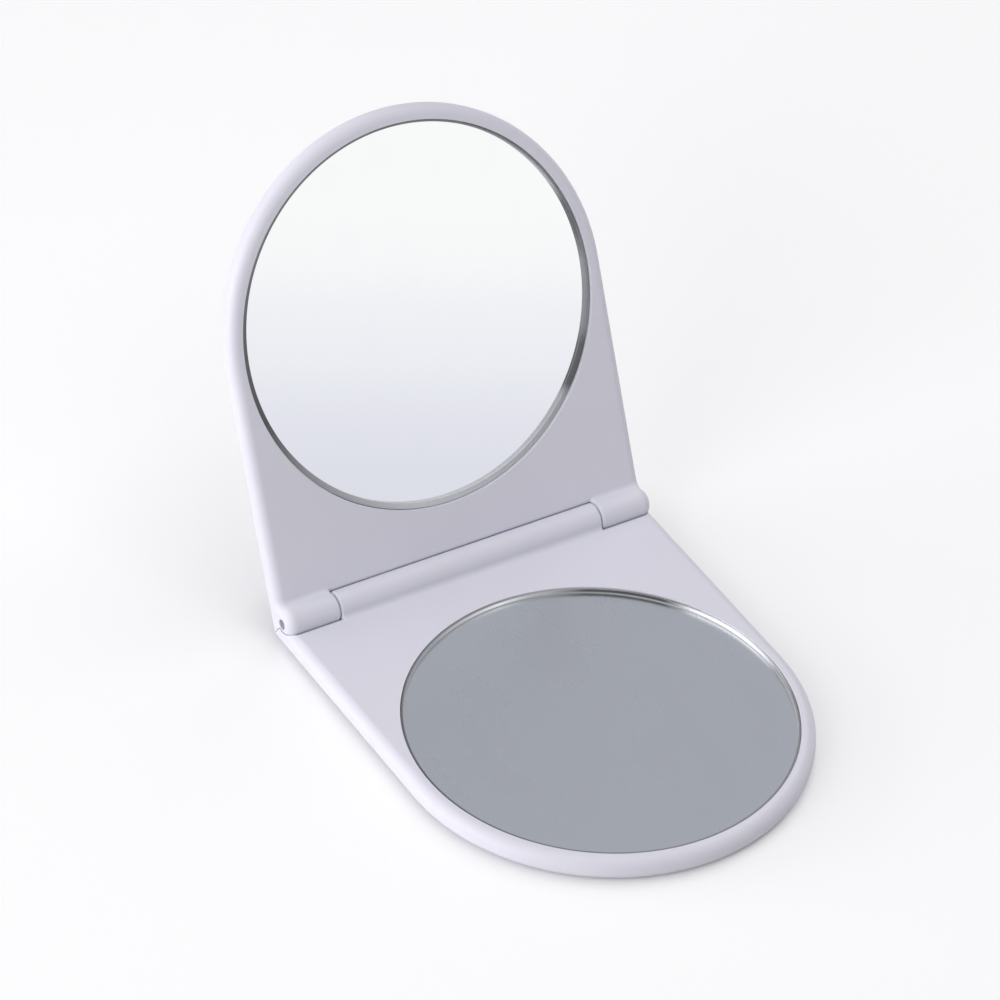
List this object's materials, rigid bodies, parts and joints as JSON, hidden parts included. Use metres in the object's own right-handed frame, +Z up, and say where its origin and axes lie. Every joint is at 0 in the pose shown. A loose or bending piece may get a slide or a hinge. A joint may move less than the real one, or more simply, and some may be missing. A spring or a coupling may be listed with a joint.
{
  "type": "compact mirror",
  "caption": "Folding pocket mirror of two round-ended white plastic shells on a pin hinge, each holding a round glass mirror, standing open.",
  "frame": {"origin": "on the floor, under the middle of the base mirror, on the underside of the base shell", "axes": "+X along the hinge to the right seen from the front, +Y from the base's round end towards the hinge and the cover, +Z up"},
  "size_m": [0.062, 0.1013, 0.0658],
  "materials": {
    "white_plastic": "satin moulded, cool white",
    "silvered_glass": "silvered flat glass, ground edge",
    "adhesive_foam": "thin double-sided foam",
    "pin_steel": "drawn wire"
  },
  "bodies": {
    "base": {"base_shell": "white_plastic", "base_mirror": "silvered_glass", "base_mirror_pad": "adhesive_foam"},
    "cover": {"cover_shell": "white_plastic", "cover_mirror": "silvered_glass", "cover_mirror_pad": "adhesive_foam", "left_hinge_pin": "pin_steel", "right_hinge_pin": "pin_steel"}
  },
  "joints": [
    {"name": "cover_fold", "type": "hinge", "parent": "base", "child": "cover", "pos_m": [0, 0.038, 0.004], "axis": [1, 0, 0], "range_deg": [0, 115.7]}
  ]
}
